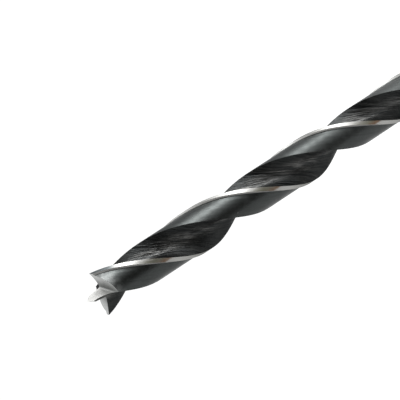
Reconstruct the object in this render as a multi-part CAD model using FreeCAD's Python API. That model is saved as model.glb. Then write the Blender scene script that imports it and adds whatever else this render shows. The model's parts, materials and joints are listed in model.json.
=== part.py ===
# Brad point drill bit for wood, 8 mm, two flutes, right-hand helix, round shank.
#
# One solid. Z runs up along the axis, from the flat end of the shank at Z = 0 to the brad point.
# The cutting corner of the first spur lies on the +X side. All lengths are in millimetres.
#
# The order is the order of manufacture: a turned blank, two milled flutes, the ground clearance
# behind each margin, and at last the point.
import FreeCAD, Part
import math
import os

from FreeCAD import Rotation, Vector

# Sizes of the blank
bit_diameter = 8.0
shank_diameter = 7.9          # a little under the hole that the bit bores
overall_length = 117.0
shank_end_chamfer = 0.6
shank_shoulder = 0.8          # height of the cone between the two diameters

# Flutes: a flat rake face, a round root and a flat heel face, seen across the axis
helix_angle = 26.4            # degrees, at the outer diameter
full_flute_length = 78.0      # full depth, counted from the spur tips toward the shank
rake_offset = 0.52            # how far the rake face passes from the axis
heel_offset = 0.52            # how far the heel face passes from the axis
root_radius = 0.95
land_angle = 83.0             # degrees from the cutting edge back to the heel
flute_wheel_radius = 22.0     # the milling wheel leaves the flute on this radius

# Lands: a narrow margin at full diameter, and the cleared back behind it
margin_width = 0.80
margin_step_width = 0.26
land_clearance = 0.38
clearance_wheel_radius = 60.0

# Point: two outer spurs, two sloping lips and the centre brad
brad_height = 2.5             # above the spur tips
lip_slope = 15.0              # degrees, down from the spur toward the centre
lip_hollow_radius = 13.0
relief_angle = 9.5            # degrees, down from the lip toward the heel
gullet_radius = 0.35
brad_side_angle = 11.5        # degrees from the axis, the two faces ground with the lips
brad_side_direction = -23.0   # degrees from the spur
brad_edge_angle = 34.0        # degrees from the axis, the two faces ground across the web
brad_edge_direction = 22.0
brad_edge_reach = 1.65        # how far the narrow wheel reaches out from the axis

# How the cutting tools are drawn
lands = 2
section_twist = 30.0          # degrees of twist between neighbouring sections of a helical tool
run_out_spacing = 2.0         # at most this between the sections of a run-out
tool_overlap = 2.0            # how far a tool stands clear of the work where it enters
tool_exit = 0.5               # how far a wheel stands clear at the end of its run-out
same_line = 1e-4              # two lines nearer than this are one

bit_radius = bit_diameter / 2.0
shank_radius = shank_diameter / 2.0
back_radius = bit_radius - land_clearance
spur_z = overall_length - brad_height
tool_top = overall_length + tool_overlap
full_flute_end = spur_z - full_flute_length
twist_per_mm = math.degrees(math.tan(math.radians(helix_angle)) / bit_radius)


def polar(radius, degrees):
    """The point at a radius and an angle about the axis, at Z = 0."""
    angle = math.radians(degrees)
    return Vector(radius * math.cos(angle), radius * math.sin(angle), 0)


def about_axis(shape, degrees):
    """A copy of the shape, turned about the axis."""
    turned = shape.copy()
    turned.rotate(Vector(0, 0, 0), Vector(0, 0, 1), degrees)
    return turned


def around(shape):
    """One copy of the shape for each land."""
    return [about_axis(shape, 360.0 * index / lands) for index in range(lands)]


def revolved(edges):
    """The solid of revolution of a closed outline in the XZ plane."""
    return Part.Face(Part.Wire(edges)).revolve(Vector(0, 0, 0), Vector(0, 0, 1), 360.0)


def run_out(wheel_radius, depth):
    """The length over which a wheel of this radius leaves a cut of this depth."""
    return math.sqrt(wheel_radius ** 2 - (wheel_radius - depth) ** 2)


def wheel_lift(wheel_radius, past):
    """How far the wheel has risen, this far past the end of its full depth."""
    if past <= 0.0:
        return 0.0
    return wheel_radius - math.sqrt(wheel_radius ** 2 - past ** 2)


def evenly(start, end, steps):
    """Heights from start to end, both included."""
    return [start + (end - start) * step / steps for step in range(steps + 1)]


def cubic_arc(start, through, end):
    """The arc through three points as one cubic curve, which keeps the lofted faces simple."""
    arc = Part.Arc(start, through, end).toShape()
    radius = arc.Curve.Radius
    reach = 4.0 / 3.0 * math.tan(arc.Length / radius / 4.0) * radius
    leaving = arc.tangentAt(arc.FirstParameter) * reach
    arriving = arc.tangentAt(arc.LastParameter) * reach
    curve = Part.BezierCurve()
    curve.setPoles([start, start + leaving, end - arriving, end])
    return curve.toShape()


def at_height(wire, z):
    """The section raised to a height and turned with the helix."""
    wire.translate(Vector(0, 0, z))
    wire.rotate(Vector(0, 0, 0), Vector(0, 0, 1), twist_per_mm * (z - spur_z))
    return wire


def wall_line(offset, through):
    """Unit vector outward along the line through a point that passes the axis at an offset.

    A positive offset leaves the axis on the right of the outward direction.
    """
    toward = math.atan2(through.y, through.x)
    lean = math.asin(offset / through.Length)
    return Vector(math.cos(toward - lean), math.sin(toward - lean), 0)


def flute_outline():
    """The milled flute ahead of the first cutting edge, as corner points and arcs at Z = 0."""
    corner = polar(bit_radius, 0.0)
    heel = polar(back_radius, 180.0 - land_angle)
    rake = wall_line(rake_offset, corner)
    back = wall_line(-heel_offset, heel)
    rake_normal = Vector(-rake.y, rake.x, 0)
    back_normal = Vector(back.y, -back.x, 0)
    # the centre of the root circle stands one root radius clear of both faces
    rake_level = rake_offset + root_radius
    back_level = heel_offset + root_radius
    det = rake_normal.x * back_normal.y - rake_normal.y * back_normal.x
    centre = Vector(
        (rake_level * back_normal.y - rake_normal.y * back_level) / det,
        (rake_normal.x * back_level - rake_level * back_normal.x) / det,
        0,
    )
    rake_foot = centre - rake_normal * root_radius
    back_foot = centre - back_normal * root_radius
    root = centre - (rake_normal + back_normal).normalize() * root_radius
    rake_end = corner + rake * tool_overlap
    back_end = heel + back * (tool_overlap + land_clearance)
    outside = (rake + back).normalize() * (bit_diameter + tool_overlap)
    return rake_end, rake_foot, root, back_foot, back_end, outside


def web_radius():
    """Half the web: how near the flute's root comes to the axis."""
    root = flute_outline()[2]
    return root.Length


flute_end = full_flute_end - run_out(flute_wheel_radius, bit_radius - web_radius())


def blank():
    """The turned blank: shank with a chamfered end, shoulder and body."""
    outline = Part.makePolygon([
        Vector(0, 0, 0),
        Vector(shank_radius - shank_end_chamfer, 0, 0),
        Vector(shank_radius, 0, shank_end_chamfer),
        Vector(shank_radius, 0, flute_end - shank_shoulder),
        Vector(bit_radius, 0, flute_end),
        Vector(bit_radius, 0, overall_length),
        Vector(0, 0, overall_length),
        Vector(0, 0, 0),
    ])
    return revolved(outline.Edges)


def flute_section(z):
    """The closed section of the flute wheel's cut, lifted out past the end of the full flute."""
    rake_end, rake_foot, root, back_foot, back_end, outside = flute_outline()
    wire = Part.Wire([
        Part.LineSegment(rake_end, rake_foot).toShape(),
        cubic_arc(rake_foot, root, back_foot),
        Part.LineSegment(back_foot, back_end).toShape(),
        Part.LineSegment(back_end, outside).toShape(),
        Part.LineSegment(outside, rake_end).toShape(),
    ])
    lift = wheel_lift(flute_wheel_radius, full_flute_end - z)
    wire.translate(Vector(outside).normalize() * lift)
    return at_height(wire, z)


def clearance_section(z):
    """The closed section of what is ground off the land behind the first margin."""
    lift = wheel_lift(clearance_wheel_radius, full_flute_end - z)
    inner = back_radius + lift
    outer = bit_radius + lift + tool_overlap
    margin_angle = math.degrees(margin_width / bit_radius)
    foot_angle = margin_angle + math.degrees(margin_step_width / bit_radius)
    past_heel = land_angle + math.degrees(tool_exit / bit_radius)
    middle_angle = (foot_angle + past_heel) / 2.0
    # the step leans from its foot through the margin's rear edge
    step = (polar(bit_radius, -margin_angle) - polar(back_radius, -foot_angle)).normalize()
    foot = polar(inner, -foot_angle)
    step_end = foot + step * (tool_overlap + land_clearance)
    wire = Part.Wire([
        Part.LineSegment(step_end, foot).toShape(),
        cubic_arc(foot, polar(inner, -middle_angle), polar(inner, -past_heel)),
        Part.LineSegment(polar(inner, -past_heel), polar(outer, -past_heel)).toShape(),
        cubic_arc(polar(outer, -past_heel), polar(outer, -middle_angle), step_end),
    ])
    return at_height(wire, z)


def helical_tool(section, wheel_radius, depth):
    """A cutting tool lofted along the helix, from above the point to the end of its run-out."""
    tool_end = full_flute_end - run_out(wheel_radius, depth + tool_exit)
    full_steps = math.ceil((tool_top - full_flute_end) * twist_per_mm / section_twist)
    run_out_steps = math.ceil((full_flute_end - tool_end) / run_out_spacing)
    heights = evenly(tool_top, full_flute_end, full_steps)
    heights += evenly(full_flute_end, tool_end, run_out_steps)[1:]
    return Part.makeLoft([section(z) for z in heights], True)


def on_circle(centre, start, toward, angle):
    """The point at an angle past the start, on the circle about the centre through both points."""
    arm = start - centre
    axis = arm.cross(toward - centre).normalize()
    return centre + Rotation(axis, math.degrees(angle)).multVec(arm)


def runs_through(edge, point, direction):
    """True for a straight edge that lies on the line through a point."""
    if edge.Curve.TypeId != "Part::GeomLine":
        return False
    start = edge.Vertexes[0].Point - point
    end = edge.Vertexes[-1].Point - point
    return start.cross(direction).Length < same_line and end.cross(direction).Length < same_line


def flank_normal():
    """Upward normal of the flank, which falls from the spur inward and back from the lip."""
    lean = math.asin(rake_offset / bit_radius)
    along_lip = Vector(math.cos(lean), -math.sin(lean), 0)
    behind_lip = Vector(-math.sin(lean), -math.cos(lean), 0)
    slope = along_lip * math.tan(math.radians(lip_slope))
    slope = slope - behind_lip * math.tan(math.radians(relief_angle))
    return Vector(-slope.x, -slope.y, 1.0).normalize()


def point_tool():
    """What one straight pass of the wheel takes away behind the first lip.

    Its side leaves one face of the brad, its face leaves the flank, and its rounded corner
    leaves the gullet between them.
    """
    spur = Vector(bit_radius, 0, spur_z)
    tip = Vector(0, 0, overall_length)
    flank_up = flank_normal()
    side_angle = math.radians(brad_side_angle)
    outward = polar(1.0, brad_side_direction)
    brad_out = (outward * math.cos(side_angle) + Vector(0, 0, math.sin(side_angle))).normalize()

    # the pass runs where the flank and the brad's face meet
    travel = flank_up.cross(brad_out).normalize()
    up_face = brad_out.cross(travel).normalize()
    if up_face.z < 0:
        up_face = up_face * -1.0
    along_face = travel.cross(flank_up).normalize()
    if along_face.dot(outward) < 0:
        along_face = along_face * -1.0

    # the face of the wheel is round, so the flank is hollow and rises toward the spur
    reach = brad_out.dot(spur - tip) / brad_out.dot(along_face)
    valley = spur - along_face * reach
    half_chord = (spur - valley).Length / 2.0
    height = math.sqrt(lip_hollow_radius ** 2 - half_chord ** 2)
    centre = (valley + spur) * 0.5 + flank_up * height
    swing = 2.0 * math.asin(half_chord / lip_hollow_radius)
    past = math.asin(tool_overlap / lip_hollow_radius)
    middle = on_circle(centre, valley, spur, swing / 2.0)
    beyond = on_circle(centre, valley, spur, swing + past)
    high = valley + up_face * (brad_height + bit_diameter)
    far_high = beyond + (high - valley)
    outline = Part.Wire([
        Part.Arc(valley, middle, beyond).toShape(),
        Part.LineSegment(beyond, far_high).toShape(),
        Part.LineSegment(far_high, high).toShape(),
        Part.LineSegment(high, valley).toShape(),
    ])
    span = bit_diameter + tool_overlap
    prism = Part.Face(outline).extrude(travel * (2.0 * span))
    prism.translate(travel * -span)
    gullet = [edge for edge in prism.Edges if runs_through(edge, valley, travel)]
    return prism.makeFillet(gullet_radius, gullet)


def brad_edge_tool():
    """What the narrow wheel takes from one side of the brad, across the web."""
    drop = brad_edge_reach / math.tan(math.radians(brad_edge_angle))
    outline = Part.makePolygon([
        Vector(0, 0, overall_length),
        Vector(brad_edge_reach, 0, overall_length - drop),
        Vector(brad_edge_reach, 0, tool_top),
        Vector(0, 0, tool_top),
        Vector(0, 0, overall_length),
    ])
    prism = Part.Face(outline).extrude(Vector(0, bit_diameter, 0))
    prism.translate(Vector(0, -bit_radius, 0))
    return about_axis(prism, brad_edge_direction)


def drill_bit():
    """The whole bit, as one solid."""
    flute = helical_tool(flute_section, flute_wheel_radius, bit_radius - web_radius())
    clearance = helical_tool(clearance_section, clearance_wheel_radius, land_clearance)
    body = blank().cut(around(flute) + around(clearance))
    body = body.cut(around(point_tool()) + around(brad_edge_tool()))
    return body.removeSplitter().Solids[0]


os.makedirs("parts", exist_ok=True)
bit = drill_bit()
bit.exportStep("parts/drill_bit.step")
print("drill_bit", len(bit.Faces), "faces", round(bit.Volume, 1), "mm3", bit.isValid())
print("plain shank from", shank_end_chamfer, "to", round(flute_end - shank_shoulder, 2), "mm")
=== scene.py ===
# %% [markdown]
# A brad point drill bit
#
# A wood bit is one piece of steel with several finishes. The flutes and the backs of the lands
# keep a dark skin, and only what the grinding wheel touched last is bright: the narrow margins,
# the point and the shank. This lesson loads the solid, makes a copy that can be dressed, sorts
# its faces by finish, and gives each finish a material of its own.

# %% The frame
import json
import math

import bpy
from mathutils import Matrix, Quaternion, Vector

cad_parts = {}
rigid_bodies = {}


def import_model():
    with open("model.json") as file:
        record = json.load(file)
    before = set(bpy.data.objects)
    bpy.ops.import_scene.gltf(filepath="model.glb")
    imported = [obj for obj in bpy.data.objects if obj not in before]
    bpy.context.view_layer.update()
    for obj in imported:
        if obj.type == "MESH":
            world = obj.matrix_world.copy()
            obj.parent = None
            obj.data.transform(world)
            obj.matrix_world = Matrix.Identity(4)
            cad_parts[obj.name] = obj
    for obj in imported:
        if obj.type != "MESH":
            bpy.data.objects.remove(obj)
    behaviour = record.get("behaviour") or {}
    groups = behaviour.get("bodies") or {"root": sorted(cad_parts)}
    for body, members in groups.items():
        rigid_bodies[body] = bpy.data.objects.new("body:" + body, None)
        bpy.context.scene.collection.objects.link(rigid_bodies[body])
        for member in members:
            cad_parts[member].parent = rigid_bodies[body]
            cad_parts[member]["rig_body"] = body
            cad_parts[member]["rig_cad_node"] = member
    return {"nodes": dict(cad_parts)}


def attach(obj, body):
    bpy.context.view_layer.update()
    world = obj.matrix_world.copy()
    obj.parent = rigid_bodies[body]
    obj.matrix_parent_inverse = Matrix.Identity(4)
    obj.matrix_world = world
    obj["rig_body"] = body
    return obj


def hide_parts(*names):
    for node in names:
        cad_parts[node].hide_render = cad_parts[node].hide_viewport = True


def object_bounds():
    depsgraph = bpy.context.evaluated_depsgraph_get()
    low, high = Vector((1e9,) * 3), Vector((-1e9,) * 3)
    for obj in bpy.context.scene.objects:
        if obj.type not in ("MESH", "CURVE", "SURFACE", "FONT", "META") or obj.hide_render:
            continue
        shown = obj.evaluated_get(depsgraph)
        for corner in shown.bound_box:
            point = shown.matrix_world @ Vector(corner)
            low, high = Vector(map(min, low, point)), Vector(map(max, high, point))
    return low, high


bpy.ops.object.select_all(action="SELECT")
bpy.ops.object.delete()
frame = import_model()
cad_low, cad_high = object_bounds()
bit_length = cad_high.z - cad_low.z
bit_radius = (cad_high.x - cad_low.x) / 2
print("length", round(bit_length, 4), "radius", round(bit_radius, 5))

# %% [markdown]
# The camera
#
# The camera comes first, because every later choice is judged through it. It looks from 28
# degrees above, with a long lens, and it is rolled so that the bit runs from the lower left to
# the upper right. The bit could lean instead, but it stays where the frame has it. A roll is a
# turn about the view's own axis, so it is put on last.

# %% The camera
camera_azimuth = math.radians(16.74)
camera_elevation = math.radians(28.0)
camera_roll = math.radians(-122.71)
camera_place = Vector((0.081412, -0.256266, 0.231767))
camera_lens = 157.84
camera_sensor = 36.0
camera_reach = 10.0

toward_camera = Vector((
    math.sin(camera_azimuth) * math.cos(camera_elevation),
    -math.cos(camera_azimuth) * math.cos(camera_elevation),
    math.sin(camera_elevation),
))
bpy.ops.object.camera_add(location=camera_place)
camera = bpy.context.object
camera.name = "camera"
camera.data.lens = camera_lens
camera.data.sensor_width = camera_sensor
camera.data.clip_end = camera_reach
camera.rotation_mode = "QUATERNION"
upright = (-toward_camera).to_track_quat("-Z", "Y")
camera.rotation_quaternion = upright @ Quaternion((0.0, 0.0, 1.0), camera_roll)
bpy.context.scene.camera = camera
print("camera", camera.location[:], "roll", round(math.degrees(camera_roll), 2))

# %% [markdown]
# A copy to dress
#
# The solid's own mesh stays as it is, so what is dressed is a copy. It is merged, so that
# neighbouring faces share their corners, and shaded smooth up to the ground edges. The sharp
# edges of the real tool stay sharp, because no shading runs across them.

# %% The copy
merge_distance = 1e-7
smooth_up_to = math.radians(24.0)

solid = frame["nodes"]["drill_bit"]
bpy.ops.object.select_all(action="DESELECT")
solid.select_set(True)
bpy.context.view_layer.objects.active = solid
bpy.ops.object.duplicate()
bit = bpy.context.object
bit.name = "bit"
bit.data.name = "bit"
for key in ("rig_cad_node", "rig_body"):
    if key in bit:
        del bit[key]
bpy.ops.mesh.customdata_custom_splitnormals_clear()
bpy.ops.object.mode_set(mode="EDIT")
bpy.ops.mesh.select_all(action="SELECT")
bpy.ops.mesh.remove_doubles(threshold=merge_distance)
bpy.ops.mesh.select_mode(type="FACE")
bpy.ops.mesh.select_all(action="DESELECT")
bpy.ops.object.mode_set(mode="OBJECT")
bpy.ops.object.shade_smooth_by_angle(angle=smooth_up_to)
print("copy", len(bit.data.vertices), "corners", len(bit.data.polygons), "faces")

# %% [markdown]
# Sorting the faces by finish
#
# The faces could be picked one by one, but each finish is a place on the tool, so a face can be
# told by where it lies. What reaches the full radius is ground to size. What lies a little inside
# it is the cleared back of a land. The rest of the fluted body is flute, and all that lies below
# it is shank.

# %% The places of the finishes
millimetre = 0.001
fluted_from = 25.2 * millimetre
ground_radius = 3.93 * millimetre
cleared_radius = 3.60 * millimetre


def inner_radius(face):
    """How far the nearest corner of a face lies from the axis."""
    corners = [bit.data.vertices[index].co for index in face.vertices]
    return min(corner.xy.length for corner in corners)


def finish_by_place(face):
    """The finish of a face of the shank or of the fluted body."""
    inner = inner_radius(face)
    if face.center.z < fluted_from:
        return "shank"
    if inner > ground_radius:
        return "margin"
    if inner > cleared_radius:
        return "land"
    return "flute"


print("fluted from", fluted_from, "margins outside", ground_radius)

# %% [markdown]
# The point's own faces
#
# The point's faces lie at every radius, so they are told by their slope. The search starts from
# the flanks, which look up, and spreads from there over every face that joins without a sharp
# edge, as a modeller would select them by hand.

# %% The point's faces
point_from = 112.0 * millimetre
flank_looks_up = 0.5
flat_up_to = math.radians(22.0)

for face in bit.data.polygons:
    face.select = face.center.z > point_from and face.normal.z > flank_looks_up
bpy.ops.object.mode_set(mode="EDIT")
bpy.ops.mesh.faces_select_linked_flat(sharpness=flat_up_to)
bpy.ops.object.mode_set(mode="OBJECT")
point_faces = {face.index for face in bit.data.polygons if face.select}
print("point", len(point_faces), "faces")

# %% The finish of every face
finish_names = ["flute", "land", "margin", "point", "shank"]

finishes = []
for face in bit.data.polygons:
    finishes.append("point" if face.index in point_faces else finish_by_place(face))
for name in finish_names:
    print(name, finishes.count(name), "faces")

# %% [markdown]
# Helpers for materials
#
# Every finish is a tree of nodes, and the same small steps on numbers, places and colours come
# back in all of them. Written out node by node, the sums would be lost among the links. So each
# kind of step gets a helper, which adds a node, feeds its inputs and hands back its output.

# %% Nodes
def feed(tree, socket, value):
    """Gives an input either a link from another node's output or a plain value."""
    if isinstance(value, bpy.types.NodeSocket):
        tree.links.new(value, socket)
    else:
        socket.default_value = value


def new_node(tree, kind, inputs=None, **settings):
    """A node with its settings, such as an operation, and its inputs by name or number."""
    node = tree.nodes.new(kind)
    for name, value in settings.items():
        setattr(node, name, value)
    for name, value in (inputs or {}).items():
        feed(tree, node.inputs[name], value)
    return node


# %% Numbers and colours
def work_out(tree, operation, *values, clamp=False):
    """The output of a Math node."""
    inputs = dict(enumerate(values))
    node = new_node(tree, "ShaderNodeMath", inputs, operation=operation, use_clamp=clamp)
    return node.outputs[0]


def product(tree, first, *others):
    """Several values multiplied together."""
    result = first
    for other in others:
        result = work_out(tree, "MULTIPLY", result, other)
    return result


def between(tree, share, at_none, at_full):
    """The value that a share from 0 to 1 gives between two values."""
    return work_out(tree, "MULTIPLY_ADD", share, at_full - at_none, at_none)


def ramp(tree, value, low, high, low_out=0.0, high_out=1.0):
    """A value taken smoothly from one range to another."""
    inputs = dict(enumerate((value, low, high, low_out, high_out)))
    node = new_node(tree, "ShaderNodeMapRange", inputs, interpolation_type="SMOOTHSTEP")
    return node.outputs[0]


def blend_colours(tree, share, first, second):
    """The colour that a share from 0 to 1 gives between two colours."""
    inputs = {"Factor": share, "A": first, "B": second}
    return new_node(tree, "ShaderNodeMix", inputs, data_type="RGBA").outputs["Result"]


# %% Places
def split(tree, place):
    """The X, Y and Z of a place."""
    return new_node(tree, "ShaderNodeSeparateXYZ", {"Vector": place}).outputs


def join(tree, x, y, z):
    """A place from its X, Y and Z."""
    return new_node(tree, "ShaderNodeCombineXYZ", {"X": x, "Y": y, "Z": z}).outputs[0]


def stretch_place(tree, place, factors):
    """A place with its X, Y and Z each multiplied by a factor."""
    inputs = {0: place, 1: factors}
    return new_node(tree, "ShaderNodeVectorMath", inputs, operation="MULTIPLY").outputs[0]


def turn_about_axis(tree, place, angle):
    """A place turned about the bit's axis."""
    inputs = {"Vector": place, "Angle": angle}
    return new_node(tree, "ShaderNodeVectorRotate", inputs, rotation_type="Z_AXIS").outputs[0]


# %% [markdown]
# Groups
#
# What more than one steel needs, or what would crowd a steel's own tree, is a node group: it is
# built once, with named inputs and outputs, and placed in a steel with that steel's own values.

# %% Groups
number_kind = "NodeSocketFloat"
place_kind = "NodeSocketVector"


def new_group(name, inputs, outputs):
    """An empty group, with the sockets that come into it and the sockets that lead out."""
    group = bpy.data.node_groups.new(name, "ShaderNodeTree")
    for label, kind in inputs.items():
        group.interface.new_socket(label, in_out="INPUT", socket_type=kind)
    for label, kind in outputs.items():
        group.interface.new_socket(label, in_out="OUTPUT", socket_type=kind)
    entry = group.nodes.new("NodeGroupInput")
    way_out = group.nodes.new("NodeGroupOutput")
    return group, entry.outputs, way_out.inputs


def place_group(tree, group, inputs):
    """The outputs of a group that is placed in a tree."""
    return new_node(tree, "ShaderNodeGroup", inputs, node_tree=group).outputs


# %% [markdown]
# Unwinding the helix
#
# Grinding and milling leave fine lines that follow the flute. The lines are easy to draw on a
# straight groove, so each point is first unwound: it is turned back about the axis by as much as
# the helix has turned at its height. In unwound space the flute runs straight along Z, and noise
# that is stretched along Z gives lines that run with the flute.

# %% The unwinding group
helix_angle = math.radians(26.4)
twist_per_metre = math.tan(helix_angle) / bit_radius


def make_unwound():
    """Puts out the unwound place, the place itself, its distance from the axis and its height."""
    outputs = {
        "Unwound": place_kind,
        "Place": place_kind,
        "Radius": number_kind,
        "Height": number_kind,
    }
    group, entry, way_out = new_group("unwound place", {"Turn per metre": number_kind}, outputs)
    place = new_node(group, "ShaderNodeTexCoord").outputs["Object"]
    x, y, z = split(group, place)
    back = product(group, z, entry["Turn per metre"], -1.0)
    squares = work_out(group, "ADD", product(group, x, x), product(group, y, y))
    feed(group, way_out["Unwound"], turn_about_axis(group, place, back))
    feed(group, way_out["Place"], place)
    feed(group, way_out["Radius"], work_out(group, "SQRT", squares))
    feed(group, way_out["Height"], z)
    return group


unwound_group = make_unwound()
print("group", unwound_group.name, "twist per metre", round(twist_per_metre, 2))

# %% [markdown]
# Lines at a slant
#
# The wheel stood a little askew to the flute, so its marks cross the flute at a slant. To draw
# them in the surface, each point of the unwound flute gets an angle about the flute's middle, as
# on a clock face laid into the groove. That angle and the height are then turned against each
# other by the slant, and the noise is stretched along one of them.

# %% The slanted place
flute_middle_azimuth = math.radians(-45.6)
flute_middle_radius = 2.6 * millimetre
flute_wall_distance = 1.7 * millimetre
mark_slant = math.radians(20.0)
flutes_apart = 10.0 * millimetre


def make_slanted():
    """Puts out the place in the flute's surface, with Z along the wheel's marks."""
    outputs = {"Slanted": place_kind, "Across": number_kind}
    group, entry, way_out = new_group("slanted marks", {"Unwound": place_kind}, outputs)
    facing = turn_about_axis(group, entry["Unwound"], -flute_middle_azimuth)
    x, y, z = split(group, facing)
    # both flutes are read as the same one, on the positive side
    side = work_out(group, "SIGN", x)
    out = work_out(group, "ABSOLUTE", x)
    across = product(group, y, side)
    behind = work_out(group, "SUBTRACT", flute_middle_radius, out)
    clock = work_out(group, "ARCTAN2", across, behind)
    around = product(group, clock, flute_wall_distance)
    around_slant = product(group, around, math.sin(mark_slant))
    around_square = product(group, around, math.cos(mark_slant))
    height_slant = product(group, z, math.sin(mark_slant))
    height_square = product(group, z, math.cos(mark_slant))
    along = work_out(group, "ADD", around_slant, height_square)
    over = work_out(group, "SUBTRACT", around_square, height_slant)
    # the two flutes take their noise from places apart, so that their marks differ
    apart = product(group, side, flutes_apart)
    feed(group, way_out["Slanted"], join(group, over, apart, along))
    feed(group, way_out["Across"], across)
    return group


slanted_group = make_slanted()
print("group", slanted_group.name)

# %% [markdown]
# Ground lines
#
# A wheel's grit leaves fine parallel lines. A picture of scratches could be laid on, but it would
# blur close up and need a map of the surface. The lines are noise instead, squeezed across and
# stretched along Z, and its middle range is spread out by the contrast.

# %% The ground lines
lines_noise = {"Scale": 1.0, "Detail": 3.0, "Roughness": 0.65}
noise_middle = 0.5
noise_spread = 2.0


def make_lines():
    """Fine parallel lines along Z of the vector that comes in, as a value from 0 to 1."""
    inputs = {
        "Vector": place_kind,
        "Lines per metre": number_kind,
        "Stretch": number_kind,
        "Contrast": number_kind,
    }
    group, entry, way_out = new_group("ground lines", inputs, {"Lines": number_kind})
    across = entry["Lines per metre"]
    along = product(group, across, entry["Stretch"])
    squeezed = stretch_place(group, entry["Vector"], join(group, across, across, along))
    noise = new_node(group, "ShaderNodeTexNoise", {"Vector": squeezed, **lines_noise})
    centred = work_out(group, "SUBTRACT", noise.outputs["Fac"], noise_middle)
    spread = product(group, centred, entry["Contrast"])
    lines = work_out(group, "MULTIPLY_ADD", spread, noise_spread, noise_middle, clamp=True)
    feed(group, way_out["Lines"], lines)
    return group


lines_group = make_lines()
print("group", lines_group.name)

# %% [markdown]
# Stains
#
# Oil, heat and handling leave soft blotches with a finer speckle in them. They could be painted
# on by hand, but noise with several sizes in it has both, and it needs no map of the surface. The
# coverage says how much of it counts as stained.

# %% The stains
stains_noise = {"Detail": 5.0, "Roughness": 0.6, "Distortion": 0.4}
stained_above = 0.85
full_stain_above = 1.15


def make_stains():
    """Soft blotches with a finer speckle in them, as a value from 0 to 1."""
    inputs = {"Vector": place_kind, "Blotches per metre": number_kind, "Coverage": number_kind}
    group, entry, way_out = new_group("stains", inputs, {"Stains": number_kind})
    placed = {"Vector": entry["Vector"], "Scale": entry["Blotches per metre"]}
    broad = new_node(group, "ShaderNodeTexNoise", {**placed, **stains_noise})
    low = work_out(group, "SUBTRACT", stained_above, entry["Coverage"])
    high = work_out(group, "SUBTRACT", full_stain_above, entry["Coverage"])
    feed(group, way_out["Stains"], ramp(group, broad.outputs["Fac"], low, high))
    return group


stains_group = make_stains()
print("group", stains_group.name)

# %% [markdown]
# Nicks
#
# Here and there the skin is chipped off in a small spot. The spots are too shallow to dent the
# mesh, so they are a mask. Voronoi cells scatter points over the surface, with a chance colour
# each, and a spot is drawn round the middle of only some of the cells.

# %% The nicks
nicked_above = 0.80
full_nick_above = 0.90


def make_nicks():
    """Small scattered spots, as a value from 0 to 1, where the skin is chipped off."""
    inputs = {"Vector": place_kind, "Spots per metre": number_kind, "Size": number_kind}
    group, entry, way_out = new_group("nicks", inputs, {"Nicks": number_kind})
    placed = {"Vector": entry["Vector"], "Scale": entry["Spots per metre"]}
    cells = new_node(group, "ShaderNodeTexVoronoi", placed)
    chance = new_node(group, "ShaderNodeSeparateColor", {"Color": cells.outputs["Color"]})
    near = ramp(group, cells.outputs["Distance"], entry["Size"], 0.0)
    chosen = ramp(group, chance.outputs["Red"], nicked_above, full_nick_above)
    feed(group, way_out["Nicks"], product(group, near, chosen))
    return group


nicks_group = make_nicks()
print("group", nicks_group.name)

# %% [markdown]
# A steel to start from
#
# All five finishes are one steel, so they start alike: a metal shader with the unwound place
# beside it. They end alike too. A colour, a roughness and the relief of a pattern go into the
# shader. So does a tint for the angles at which the eye skims the surface, because plain metal
# turns white there, and all of this bit but its point stays darker.

# %% The steel to start from
def new_steel(name):
    """A metal material with its tree, its shader and the unwound place to draw on."""
    material = bpy.data.materials.new(name)
    material.use_nodes = True
    tree = material.node_tree
    shader = tree.nodes["Principled BSDF"]
    shader.inputs["Metallic"].default_value = 1.0
    place = place_group(tree, unwound_group, {"Turn per metre": twist_per_metre})
    return material, tree, shader, place


def draw(tree, group, vector, pattern):
    """One of the patterns, drawn on a vector with the values that the pattern names."""
    return place_group(tree, group, {"Vector": vector, **pattern})[0]


def finish_steel(tree, shader, colour, roughness, skim_tint, pattern, relief):
    """Feeds the shader, and puts a fine relief of the pattern under its reflections."""
    bump = new_node(tree, "ShaderNodeBump", {"Height": pattern, **relief})
    feed(tree, shader.inputs["Base Color"], colour)
    feed(tree, shader.inputs["Roughness"], roughness)
    feed(tree, shader.inputs["Specular Tint"], skim_tint)
    feed(tree, shader.inputs["Normal"], bump.outputs[0])


# %% [markdown]
# The chips' wear and a painted highlight
#
# The chips run up the middle of each flute and rub its skin thin, and a highlight lies along the
# flute in the same place. So a broad band of greyer steel is painted there, partly scratched chip
# wear and partly a painted highlight, stronger in some places than in others. It could be a mesh
# strip of its own, but it has no edge to model. Here it is a mask, taken from how far across the
# flute each point lies, and the marks and the stains break it up.

# %% The chips' wear and painted highlight
# the band across the flute is partly chip wear and partly a painted highlight
highlight_band_middle = 0.35 * millimetre
highlight_band_core = 0.05 * millimetre
highlight_band_edge = 1.75 * millimetre
highlight_band_strength = 0.6
highlight_band_by_marks = (0.05, 1.05)
highlight_band_by_stains = (0.5, 1.0)


def chip_wear_and_highlight(tree, across, marks, stains):
    """How strong the band of chip wear and painted highlight is, from 0 to 1."""
    from_middle = work_out(tree, "ABSOLUTE", work_out(tree, "SUBTRACT", across, highlight_band_middle))
    wear_and_highlight = ramp(tree, from_middle, highlight_band_core, highlight_band_edge, highlight_band_strength, 0.0)
    scratched = between(tree, marks, *highlight_band_by_marks)
    spotted = between(tree, stains, *highlight_band_by_stains)
    return product(tree, scratched, spotted, wear_and_highlight)


print("chip wear and painted highlight", round((highlight_band_edge + highlight_band_edge) / millimetre, 2), "mm wide")
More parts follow.
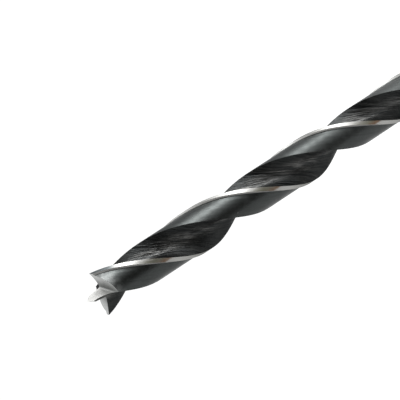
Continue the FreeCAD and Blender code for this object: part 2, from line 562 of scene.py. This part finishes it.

# %% [markdown]
# The flutes
#
# The flutes were ground before the steel was blackened, so they are near black, with the wheel's
# slanted marks. A plain black would look flat, so the marks are drawn three times: in the colour,
# a little paler where the skin is stained, in the roughness, and in the relief that breaks up
# what the flute mirrors. The band of chip wear and painted highlight comes over them.

# %% The flutes
flute_marks = {"Lines per metre": 2800.0, "Stretch": 0.05, "Contrast": 2.4}
flute_stains = {"Blotches per metre": 230.0, "Coverage": 0.42}
marks_by_stains = (0.15, 0.40)
flute_dark = (0.020, 0.0215, 0.022, 1.0)
flute_worn = (0.085, 0.085, 0.080, 1.0)
# paler steel for the chip wear and the painted highlight
flute_scratched_and_highlight = (0.27, 0.268, 0.26, 1.0)
flute_roughness = (0.34, 0.44)
flute_skim_tint = (0.5, 0.5, 0.5, 1.0)
flute_relief = {"Strength": 1.0, "Distance": 0.05 * millimetre}


def make_flute_steel():
    """Near black steel with slanted marks, and a band of chip wear and painted highlight."""
    material, tree, shader, place = new_steel("blackened flute")
    slanted = place_group(tree, slanted_group, {"Unwound": place["Unwound"]})
    marks = draw(tree, lines_group, slanted["Slanted"], flute_marks)
    stains = draw(tree, stains_group, place["Place"], flute_stains)
    pale_share = product(tree, marks, between(tree, stains, *marks_by_stains))
    skin = blend_colours(tree, pale_share, flute_dark, flute_worn)
    # the paler band is chip wear and a painted highlight
    wear_and_highlight = chip_wear_and_highlight(tree, slanted["Across"], marks, stains)
    colour = blend_colours(tree, wear_and_highlight, skin, flute_scratched_and_highlight)
    roughness = between(tree, marks, *flute_roughness)
    finish_steel(tree, shader, colour, roughness, flute_skim_tint, marks, flute_relief)
    return material


flute_steel = make_flute_steel()
print("material", flute_steel.name)

# %% [markdown]
# The skin of the lands
#
# The cleared back of a land is smoother than the flute, with a dark grey skin of fine grain that
# mirrors softly. Toward the spurs it is paler and clouded. The cloud is a mask: the height says
# where it lies, and the stains break it up.

# %% The lands' skin
cloud_from = 110.8 * millimetre
cloud_full = 113.2 * millimetre
cloud_by_stains = (0.4, 1.0)
grain_per_metre = 6000.0
grain_strength = 0.5
land_dark = (0.046, 0.050, 0.049, 1.0)
land_pale = (0.063, 0.068, 0.067, 1.0)
land_cloud = (0.22, 0.23, 0.228, 1.0)
land_grain = (0.03, 0.032, 0.032, 1.0)


def skin_of_land(tree, place, lines, stains, near_spurs):
    """The lands' grained skin, with its cloud toward the spurs."""
    skin = blend_colours(tree, lines, land_dark, land_pale)
    cloud = product(tree, between(tree, stains, *cloud_by_stains), near_spurs)
    clouded = blend_colours(tree, cloud, skin, land_cloud)
    placed = {"Vector": place["Place"], "Scale": grain_per_metre}
    grain = new_node(tree, "ShaderNodeTexNoise", placed).outputs["Fac"]
    return blend_colours(tree, product(tree, grain, grain_strength), clouded, land_grain)


print("clouded from", cloud_from, "to", cloud_full)

# %% [markdown]
# The backs of the lands
#
# The step up to the margin is painted pale and matt, as a painted highlight where its foot would
# catch the light, and the skin has a few nicks. The step is in the mesh, but the highlight and
# the nicks are masks, because the nicks are too shallow to model. The distance from the axis says
# where the step is. There the steel is less of a mirror, so it counts less as metal.

# %% The lands
land_lines = {"Lines per metre": 2600.0, "Stretch": 0.08, "Contrast": 1.2}
land_stains = {"Blotches per metre": 900.0, "Coverage": 0.50}
land_nicks = {"Spots per metre": 420.0, "Size": 0.12}
step_foot = 3.66 * millimetre
step_top = 3.80 * millimetre
# the step's pale colour is a painted highlight, and the real nicks share that colour
step_highlight_strength = 0.9
nick_strength = 0.5
land_nicked_and_highlight = (0.30, 0.30, 0.29, 1.0)
metal_by_step = (1.0, 0.2)
land_roughness = (0.36, 0.44)
rougher_near_spurs = 0.10
land_skim_tint = (0.9, 0.9, 0.9, 1.0)
land_relief = {"Strength": 0.3, "Distance": 0.02 * millimetre}


def make_land_steel():
    """Dark grey steel with a fine grain, a cloud toward the spurs and a pale step painted as a
    highlight.
    """
    material, tree, shader, place = new_steel("blackened land")
    lines = draw(tree, lines_group, place["Unwound"], land_lines)
    stains = draw(tree, stains_group, place["Place"], land_stains)
    nicks = draw(tree, nicks_group, place["Place"], land_nicks)
    near_spurs = ramp(tree, place["Height"], cloud_from, cloud_full)
    step = ramp(tree, place["Radius"], step_foot, step_top)
    # the pale step is a painted highlight
    highlight_on_step = product(tree, step, step_highlight_strength)
    on_nicks = product(tree, nicks, nick_strength)
    pale_share = work_out(tree, "MAXIMUM", on_nicks, highlight_on_step)
    skin = skin_of_land(tree, place, lines, stains, near_spurs)
    colour = blend_colours(tree, pale_share, skin, land_nicked_and_highlight)
    matt = between(tree, stains, *land_roughness)
    roughness = work_out(tree, "MULTIPLY_ADD", near_spurs, rougher_near_spurs, matt)
    feed(tree, shader.inputs["Metallic"], between(tree, step, *metal_by_step))
    finish_steel(tree, shader, colour, roughness, land_skim_tint, lines, land_relief)
    return material


land_steel = make_land_steel()
print("material", land_steel.name)

# %% [markdown]
# The painted brown reflection
#
# Twice in a turn each margin carries a painted brown reflection, brown where it starts and olive
# where it fades out. It is painted colour that sits at one angle about the axis and at the
# opposite one. The place is turned to face that angle, and the sine of the turn from there, which
# is the part of the place to the side over the radius, is the mask's measure.

# %% The painted brown reflection
# the brown and olive are a painted reflection, at a fixed angle about the axis
reflection_azimuth = math.radians(-89.0)
reflection_starts = math.sin(math.radians(-9.0))
reflection_full = math.sin(math.radians(-3.0))
reflection_fades = math.sin(math.radians(10.0))
reflection_gone = math.sin(math.radians(32.0))
facing_at_least = 0.5
reflected_brown = (0.16, 0.095, 0.055, 1.0)
reflected_olive = (0.17, 0.165, 0.12, 1.0)


def painted_brown_reflection(tree, place):
    """How strong the painted brown reflection is, from 0 to 1, and its tint."""
    facing = turn_about_axis(tree, place["Place"], -reflection_azimuth)
    toward, sideways = split(tree, facing)[:2]
    # the opposite angle is read as the same one
    signed = product(tree, sideways, work_out(tree, "SIGN", toward))
    turned = work_out(tree, "DIVIDE", signed, place["Radius"])
    ahead = work_out(tree, "DIVIDE", work_out(tree, "ABSOLUTE", toward), place["Radius"])
    near = work_out(tree, "GREATER_THAN", ahead, facing_at_least)
    starts = ramp(tree, turned, reflection_starts, reflection_full)
    fades = ramp(tree, turned, reflection_fades, reflection_gone, 1.0, 0.0)
    greyed = ramp(tree, turned, reflection_full, reflection_fades)
    tint = blend_colours(tree, greyed, reflected_brown, reflected_olive)
    return product(tree, starts, fades, near), tint


print("painted brown reflection at", round(math.degrees(reflection_azimuth), 1), "degrees")

# %% [markdown]
# The margins
#
# The margins are the last thing ground on the outside, so they are bright, and the wheel's fine
# marks run along them. Polished steel would mirror one place and be dark elsewhere. They are
# ground matt, so they gather light from a wide angle. A painted brown reflection lies over them
# above the full round body, and at the spurs they are painted darker, as painted shade.

# %% The margins
margin_lines = {"Lines per metre": 4200.0, "Stretch": 0.05, "Contrast": 1.0}
margin_stains = {"Blotches per metre": 420.0, "Coverage": 0.50}
margin_dark = (0.34, 0.34, 0.328, 1.0)
margin_pale = (0.44, 0.44, 0.426, 1.0)
reflection_by_stains = (0.70, 0.90)
full_round_to = 30.0 * millimetre
reflected_from = 36.0 * millimetre
# the margins are painted darker toward the spurs, as painted shade
spur_shade_from = 109.8 * millimetre
spur_shade_full = 112.0 * millimetre
spur_shade_strength = 0.9
spur_painted_shade = (0.10, 0.114, 0.120, 1.0)
margin_roughness = (0.45, 0.57)
margin_skim_tint = (0.1, 0.1, 0.1, 1.0)
margin_relief = {"Strength": 0.2, "Distance": 0.02 * millimetre}


def make_margin_steel():
    """Bright, matt ground steel with a painted brown reflection, and painted shade at the spurs.
    """
    material, tree, shader, place = new_steel("ground margin")
    lines = draw(tree, lines_group, place["Unwound"], margin_lines)
    stains = draw(tree, stains_group, place["Place"], margin_stains)
    bright = blend_colours(tree, lines, margin_dark, margin_pale)
    # the brown and olive are a painted reflection
    reflection_share, tint = painted_brown_reflection(tree, place)
    patchy = between(tree, stains, *reflection_by_stains)
    above_body = ramp(tree, place["Height"], full_round_to, reflected_from)
    with_reflection = blend_colours(tree, product(tree, reflection_share, patchy, above_body), bright, tint)
    # the darker colour at the spurs is painted shade
    at_spur = ramp(tree, place["Height"], spur_shade_from, spur_shade_full)
    colour = blend_colours(tree, product(tree, at_spur, spur_shade_strength), with_reflection, spur_painted_shade)
    roughness = between(tree, lines, *margin_roughness)
    finish_steel(tree, shader, colour, roughness, margin_skim_tint, lines, margin_relief)
    return material


margin_steel = make_margin_steel()
print("material", margin_steel.name)

# %% [markdown]
# The point
#
# Each flank is ground in one straight pass, and the wheel leaves straight marks across it. The
# passes run at one angle to the spurs, so a Mapping node turns the place by that angle first. The
# steel is bright toward the spur. In the gullet at the brad's foot it is painted darker, as
# painted shade, and on the brad it is painted paler, as a painted highlight.

# %% The point
point_lines = {"Lines per metre": 4500.0, "Stretch": 0.06, "Contrast": 1.0}
pass_turn = (0.0, 0.0, math.radians(23.0))
# the gullet is painted darker, as painted shade
gullet_shade_from = 0.6 * millimetre
gullet_shade_deepest = 1.0 * millimetre
gullet_shade_to = 3.2 * millimetre
gullet_shade_strength = 0.85
point_dark = (0.42, 0.43, 0.43, 1.0)
point_pale = (0.56, 0.57, 0.56, 1.0)
# the brad's paler colour is a painted highlight
point_brad_highlight = (0.62, 0.62, 0.605, 1.0)
point_gullet_shade = (0.15, 0.155, 0.15, 1.0)
point_roughness = (0.42, 0.54)
point_skim_tint = (1.0, 1.0, 1.0, 1.0)
point_relief = {"Strength": 0.25, "Distance": 0.02 * millimetre}


def make_point_steel():
    """Bright ground steel with straight marks, painted shade in the gullets and a painted
    highlight on the brad.
    """
    material, tree, shader, place = new_steel("ground point")
    turned = {"Vector": place["Place"], "Rotation": pass_turn}
    x, y, z = split(tree, new_node(tree, "ShaderNodeMapping", turned).outputs[0])
    # the lines run along the third value, so Y, the way of the wheel, goes there
    lines = draw(tree, lines_group, join(tree, x, z, y), point_lines)
    out = work_out(tree, "ABSOLUTE", x)
    past_brad = ramp(tree, out, gullet_shade_from, gullet_shade_deepest)
    before_spur = ramp(tree, out, gullet_shade_deepest, gullet_shade_to, 1.0, 0.0)
    # the gullet's darker colour is painted shade
    gullet_shade = product(tree, past_brad, before_spur, gullet_shade_strength)
    flank = blend_colours(tree, lines, point_dark, point_pale)
    # the brad's paler colour is a painted highlight
    bright = blend_colours(tree, past_brad, point_brad_highlight, flank)
    colour = blend_colours(tree, gullet_shade, bright, point_gullet_shade)
    roughness = between(tree, lines, *point_roughness)
    finish_steel(tree, shader, colour, roughness, point_skim_tint, lines, point_relief)
    return material


point_steel = make_point_steel()
print("material", point_steel.name)

# %% [markdown]
# The shank
#
# The shank is ground between centres like the margins. Its marks run round it. They could be cut
# as grooves, but they are far too fine for a mesh, so here the noise is squashed across the axis:
# the height decides the mark.

# %% The shank
shank_rings = {"Lines per metre": 4500.0, "Stretch": 1.0, "Contrast": 0.9}
shank_squash = (0.04, 0.04, 1.0)
shank_stains = {"Blotches per metre": 140.0, "Coverage": 0.45}
shank_stain_strength = 0.3
shank_dark = (0.36, 0.36, 0.352, 1.0)
shank_pale = (0.48, 0.48, 0.47, 1.0)
shank_stained = (0.25, 0.245, 0.23, 1.0)
shank_roughness = (0.38, 0.50)
shank_skim_tint = (0.5, 0.5, 0.5, 1.0)
shank_relief = {"Strength": 0.2, "Distance": 0.02 * millimetre}


def make_shank_steel():
    """Bright ground steel with fine rings and a few faint stains."""
    material, tree, shader, place = new_steel("ground shank")
    squashed = stretch_place(tree, place["Place"], shank_squash)
    rings = draw(tree, lines_group, squashed, shank_rings)
    stains = draw(tree, stains_group, place["Place"], shank_stains)
    bright = blend_colours(tree, rings, shank_dark, shank_pale)
    faint = product(tree, stains, shank_stain_strength)
    colour = blend_colours(tree, faint, bright, shank_stained)
    roughness = between(tree, rings, *shank_roughness)
    finish_steel(tree, shader, colour, roughness, shank_skim_tint, rings, shank_relief)
    return material


shank_steel = make_shank_steel()
print("material", shank_steel.name)

# %% [markdown]
# Putting the finishes on
#
# The bit could be cut into five pieces, but it is one piece of steel. So the materials go into
# the copy's slots, in the order of the list of finishes, and every face takes the number of its
# own finish.

# %% The slots
bit.data.materials.clear()
for steel in (flute_steel, land_steel, margin_steel, point_steel, shank_steel):
    bit.data.materials.append(steel)
for face, finish in zip(bit.data.polygons, finishes):
    face.material_index = finish_names.index(finish)
    face.select = False
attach(bit, "root")
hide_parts("drill_bit")
print("slots", [slot.name for slot in bit.material_slots])

# %% [markdown]
# The floor
#
# The photograph's background is plain white. More light would whiten the floor, but it would
# bleach the steel too. So the floor glows only for rays from the camera and from reflections, and
# its own dull white still takes the bit's shadow.

# %% The floor
floor_size = 6.0
floor_white = (0.9, 0.9, 0.9, 1.0)
floor_glow = 0.56


def seen_white(tree):
    """1 for a ray from the camera or a reflection, and 0 for a ray that only brings light."""
    path = new_node(tree, "ShaderNodeLightPath").outputs
    seen = work_out(tree, "MAXIMUM", path["Is Camera Ray"], path["Is Glossy Ray"])
    return work_out(tree, "MAXIMUM", seen, path["Is Transmission Ray"])


def make_pale_floor():
    """A dull white that glows where it is seen."""
    material = bpy.data.materials.new("pale floor")
    material.use_nodes = True
    tree = material.node_tree
    tree.nodes.clear()
    glow_strength = product(tree, seen_white(tree), floor_glow)
    diffuse = new_node(tree, "ShaderNodeBsdfDiffuse", {"Color": floor_white}).outputs[0]
    glow = new_node(tree, "ShaderNodeEmission", {"Strength": glow_strength}).outputs[0]
    both = new_node(tree, "ShaderNodeAddShader", {0: diffuse, 1: glow}).outputs[0]
    new_node(tree, "ShaderNodeOutputMaterial", {"Surface": both})
    return material


bpy.ops.mesh.primitive_plane_add(size=floor_size)
floor = bpy.context.object
floor.name = "floor"
floor.data.materials.append(make_pale_floor())
print("floor", floor_size, "glow", floor_glow)

# %% [markdown]
# The world
#
# The world does most of the lighting, because it comes from all round and leaves no hard shadow.
# It is white to the camera and in reflections as well, and gives the bit only a plain level of
# light.

# %% The world
world_light = 0.55
world_shown = 1.0
world_white = (1.0, 1.0, 1.0, 1.0)

world = bpy.data.worlds.new("studio")
bpy.context.scene.world = world
world.use_nodes = True
backdrop = world.node_tree.nodes["Background"]
strength = between(world.node_tree, seen_white(world.node_tree), world_light, world_shown)
feed(world.node_tree, backdrop.inputs["Color"], world_white)
feed(world.node_tree, backdrop.inputs["Strength"], strength)
print("world light", world_light)

# %% [markdown]
# What the steel mirrors
#
# Dark steel shows its form by what it mirrors. In a white room all of it would look alike, so
# two cards stand by the bit, as a photographer stands them. They are seen only in reflections,
# and they throw no light or shadow on the bit: a grey one on the far side, and a tall dark one on
# the camera's side.

# %% The cards
quarter_turn = math.radians(90.0)
card_grey = (0.66, 0.67, 0.68, 1.0)
card_dark = (0.10, 0.095, 0.085, 1.0)


def around_bit(azimuth, distance, height):
    """The place at an azimuth about the bit, in degrees, at a distance and a height."""
    angle = math.radians(azimuth)
    return Vector((distance * math.cos(angle), distance * math.sin(angle), height))


def make_card_material(name, colour):
    """A plain colour that no light or shade changes."""
    material = bpy.data.materials.new(name)
    material.use_nodes = True
    tree = material.node_tree
    tree.nodes.clear()
    plain = new_node(tree, "ShaderNodeEmission", {"Color": colour}).outputs[0]
    new_node(tree, "ShaderNodeOutputMaterial", {"Surface": plain})
    return material


def add_card(name, azimuth, distance, width, height, colour):
    """Stands a card on the floor, square to the bit, to be seen only in reflections."""
    middle = around_bit(azimuth, distance, height / 2)
    bpy.ops.mesh.primitive_plane_add(size=1.0, location=middle)
    card = bpy.context.object
    card.name = name
    card.scale = (height, width, 1.0)
    card.rotation_euler = (0.0, quarter_turn, math.radians(azimuth))
    card.visible_camera = False
    card.visible_diffuse = False
    card.visible_transmission = False
    card.visible_shadow = False
    card.data.materials.append(make_card_material(name, colour))
    print(name, "at", azimuth, "degrees")


add_card("grey card", azimuth=68.0, distance=0.070, width=0.105, height=0.088, colour=card_grey)
add_card("dark card", azimuth=-83.0, distance=0.066, width=0.066, height=0.140, colour=card_dark)

# %% [markdown]
# The lamp
#
# One strip of light stands low at the side. It draws the pale band along the back of each land. A
# broad lamp would wash the dark steel out, and a small one would leave a hot spot. The strip's
# edges look soft in the steel, because the steel is matt.

# %% The strip
strip_azimuth = -12.5
strip_distance = 0.10
strip_width = 0.050
strip_height = 0.100
strip_power = 0.18

strip_place = around_bit(strip_azimuth, strip_distance, strip_height / 2)
strip_looks = -around_bit(strip_azimuth, strip_distance, 0.0)
bpy.ops.object.light_add(type="AREA", location=strip_place)
strip = bpy.context.object
strip.name = "strip"
strip.data.shape = "RECTANGLE"
strip.data.size = strip_width
strip.data.size_y = strip_height
strip.data.energy = strip_power
strip.rotation_euler = strip_looks.to_track_quat("-Z", "Y").to_euler()
strip.visible_camera = False
print("strip", strip.location[:], "power", strip_power)

# %% [markdown]
# The end
#
# The colours are shown as they are, with no film look over them.

# %% The end
bpy.context.scene.view_settings.view_transform = "Standard"
